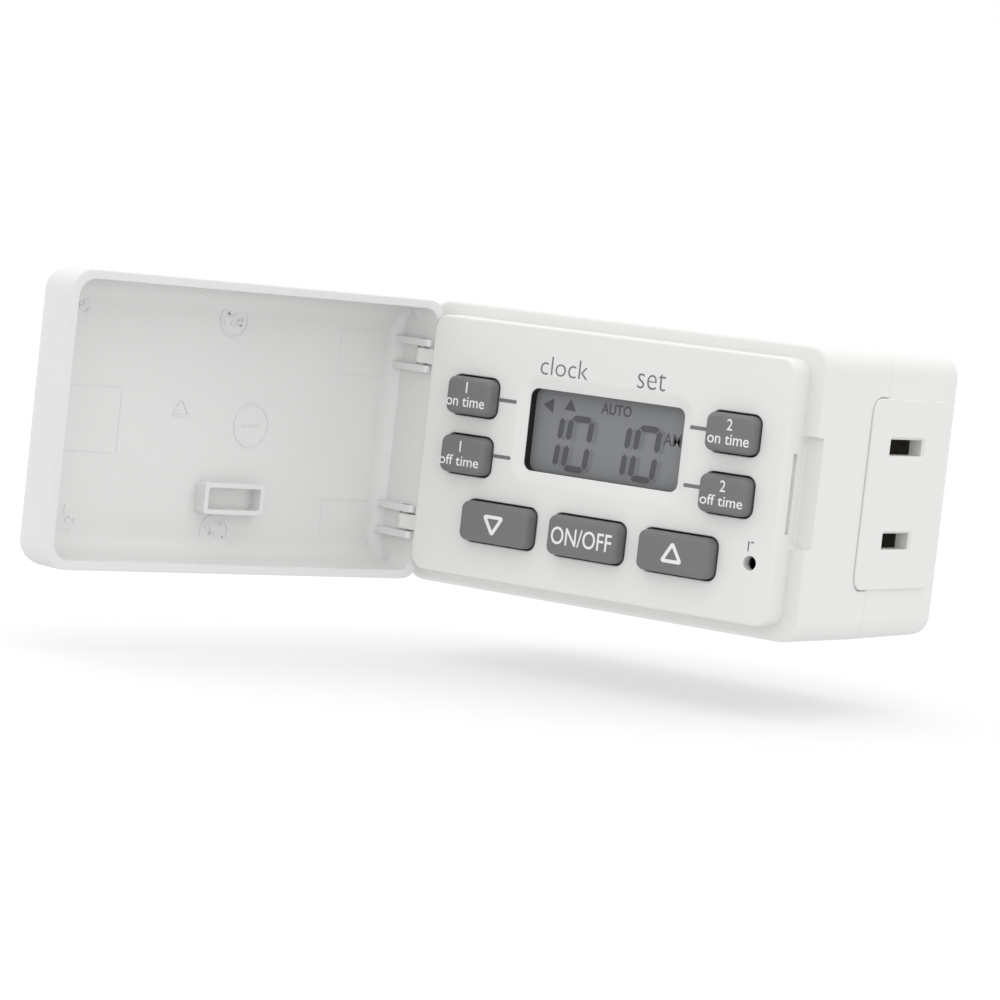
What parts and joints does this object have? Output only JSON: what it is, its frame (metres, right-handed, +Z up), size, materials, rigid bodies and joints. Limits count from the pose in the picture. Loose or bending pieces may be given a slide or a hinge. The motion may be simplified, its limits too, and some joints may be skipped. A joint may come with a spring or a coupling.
{
  "type": "plug-in digital timer",
  "caption": "Small white plug-in 24-hour digital timer with a side-hinged flip cover, display, rubber keys, side outlets and a two-blade plug.",
  "frame": {"origin": "on the flat rear face that meets the wall, midway between the two plug blades", "axes": "+X to the right seen from the front, +Y into the wall along the blades, +Z up; the keys face -Y"},
  "size_m": [0.0823, 0.1169, 0.039],
  "materials": {
    "casing_abs": "white ABS, fine satin moulded",
    "key_rubber": "dark grey silicone rubber, matt",
    "bezel_black": "black moulded polycarbonate",
    "lcd_front": "grey polariser film over the display glass",
    "lcd_cell": "laminated display glass",
    "lcd_back": "satin reflector film",
    "zebra_silicone": "layered conductive silicone",
    "board_green": "green solder mask on glass epoxy",
    "board_tan": "tan phenolic paper laminate",
    "gold_pads": "gold flashed copper",
    "screw_steel": "zinc plated steel",
    "epoxy_black": "black epoxy",
    "can_steel": "drawn nickel plated steel",
    "contact_brass": "stamped brass",
    "relay_blue": "blue moulded PBT",
    "coil_copper": "enamelled copper winding",
    "film_yellow": "yellow film capacitor case",
    "sleeve_dark": "dark shrink sleeve",
    "resistor_body": "flameproof lacquer",
    "varistor_blue": "blue epoxy dip",
    "holder_black": "black moulded phenolic",
    "lead_black": "black PVC insulation"
  },
  "bodies": {
    "casing": {"front_casing": "casing_abs", "rear_casing": "casing_abs", "case_screws": "screw_steel", "keypad_web": "key_rubber", "display_bezel": "bezel_black", "front_polarizer": "lcd_front", "lcd_glass": "lcd_cell", "lcd_reflector": "lcd_back", "lcd_frame": "bezel_black", "zebra_strip": "zebra_silicone", "control_board": "board_green", "key_contacts": "gold_pads", "board_screws": "screw_steel", "control_chip": "epoxy_black", "clock_crystal": "can_steel", "reset_switch_body": "can_steel", "backup_cell": "can_steel", "cell_tabs": "contact_brass", "power_board": "board_tan", "board_link": "bezel_black", "relay_base": "relay_blue", "relay_case": "relay_blue", "relay_coil": "coil_copper", "relay_core": "can_steel", "relay_yoke": "can_steel", "relay_fixed_contacts": "contact_brass", "dropper_capacitor": "film_yellow", "filter_capacitor": "sleeve_dark", "series_resistor": "resistor_body", "rectifier_diodes": "epoxy_black", "surge_varistor": "varistor_blue", "line_blade": "contact_brass", "neutral_blade": "contact_brass", "blade_holder": "holder_black", "neutral_strip": "contact_brass", "line_strip": "contact_brass", "line_lead": "lead_black"},
    "cover": {"lid": "casing_abs"},
    "key_on_time_1": {"key_on_time_1": "key_rubber"},
    "key_off_time_1": {"key_off_time_1": "key_rubber"},
    "key_on_time_2": {"key_on_time_2": "key_rubber"},
    "key_off_time_2": {"key_off_time_2": "key_rubber"},
    "key_down": {"key_down": "key_rubber"},
    "key_on_off": {"key_on_off": "key_rubber"},
    "key_up": {"key_up": "key_rubber"},
    "reset_button": {"reset_plunger": "bezel_black"},
    "armature": {"relay_armature": "can_steel", "relay_contact_spring": "contact_brass"}
  },
  "joints": [
    {"name": "cover_hinge", "type": "hinge", "parent": "casing", "child": "cover", "pos_m": [-0.0304, -0.0396, 0], "axis": [0, 0, 1], "range_deg": [-22, 103.7]},
    {"name": "key_on_time_1_press", "type": "slide", "parent": "casing", "child": "key_on_time_1", "axis": [0, 1, 0], "range_m": [0, 0.0007], "stiffness_N_per_m": 400},
    {"name": "key_off_time_1_press", "type": "slide", "parent": "casing", "child": "key_off_time_1", "axis": [0, 1, 0], "range_m": [0, 0.0007], "stiffness_N_per_m": 400},
    {"name": "key_on_time_2_press", "type": "slide", "parent": "casing", "child": "key_on_time_2", "axis": [0, 1, 0], "range_m": [0, 0.0007], "stiffness_N_per_m": 400},
    {"name": "key_off_time_2_press", "type": "slide", "parent": "casing", "child": "key_off_time_2", "axis": [0, 1, 0], "range_m": [0, 0.0007], "stiffness_N_per_m": 400},
    {"name": "key_down_press", "type": "slide", "parent": "casing", "child": "key_down", "axis": [0, 1, 0], "range_m": [0, 0.0007], "stiffness_N_per_m": 400},
    {"name": "key_on_off_press", "type": "slide", "parent": "casing", "child": "key_on_off", "axis": [0, 1, 0], "range_m": [0, 0.0007], "stiffness_N_per_m": 400},
    {"name": "key_up_press", "type": "slide", "parent": "casing", "child": "key_up", "axis": [0, 1, 0], "range_m": [0, 0.0007], "stiffness_N_per_m": 400},
    {"name": "reset_press", "type": "slide", "parent": "casing", "child": "reset_button", "axis": [0, 1, 0], "range_m": [0, 0.0003], "stiffness_N_per_m": 500},
    {"name": "armature_pull", "type": "hinge", "parent": "casing", "child": "armature", "pos_m": [-0.0072, -0.0089, 0.01285], "axis": [0, 0, 1], "range_deg": [-1.6, 0], "stiffness_Nm_per_rad": 0.02}
  ]
}
